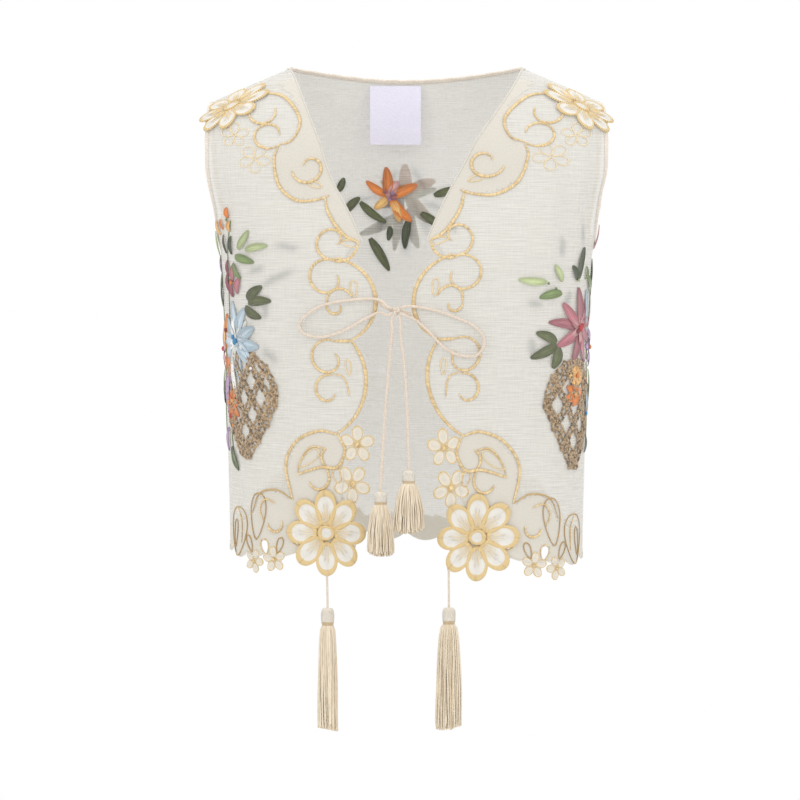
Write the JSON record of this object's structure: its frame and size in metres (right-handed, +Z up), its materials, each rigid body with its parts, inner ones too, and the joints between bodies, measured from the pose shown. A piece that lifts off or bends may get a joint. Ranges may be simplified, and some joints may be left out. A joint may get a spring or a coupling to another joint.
{
  "type": "embroidered waistcoat",
  "caption": "Sheer open-front waistcoat with couched gold scrolls, raised lace flowers, ribbon embroidery, a cord bow at the front and tassels on the hem.",
  "frame": {"origin": "midway between the two shoulder seams, level with the middle of each seam, inside the open neck", "axes": "+Z up as worn, fronts towards -Y, the wearer's right at -X"},
  "size_m": [0.3879, 0.233, 0.6159],
  "materials": {
    "cloth": "sheer plain-woven organza, off-white with a faint green-grey cast",
    "binding": "pale beige satin bias binding",
    "label": "woven satin tab, pale lavender white, blank",
    "gold": "couched gold cord with a soft sheen",
    "applique": "padded lace applique, cream with satin rims",
    "ribbon": "silk ribbon embroidery, mixed colours in the scene",
    "lattice": "brown braid",
    "lily": "silk ribbon embroidery, orange",
    "cord": "twisted beige cord",
    "tassel": "beige rayon with gold glints"
  },
  "bodies": {
    "root": {"front_right": "cloth", "front_left": "cloth", "back": "cloth", "armhole_binding_right": "binding", "armhole_binding_left": "binding", "back_neck_binding": "binding", "label": "label", "scroll_cording_right": "gold", "scroll_cording_left": "gold", "hem_flower_right": "applique", "hem_flower_left": "applique", "shoulder_flower_right": "applique", "shoulder_flower_left": "applique", "side_ribbons_right": "ribbon", "side_ribbons_left": "ribbon", "basket_right": "lattice", "basket_left": "lattice", "back_lily": "lily", "tie_knot": "cord", "tie_end_right": "cord", "tie_end_left": "cord", "bow_loop_right": "cord", "bow_loop_left": "cord", "tie_tail_right": "cord", "tie_tail_left": "cord", "hem_cord_right": "cord", "hem_cord_left": "cord", "tie_tassel_right": "tassel", "tie_tassel_left": "tassel", "hem_tassel_right": "tassel", "hem_tassel_left": "tassel"}
  },
  "joints": []
}
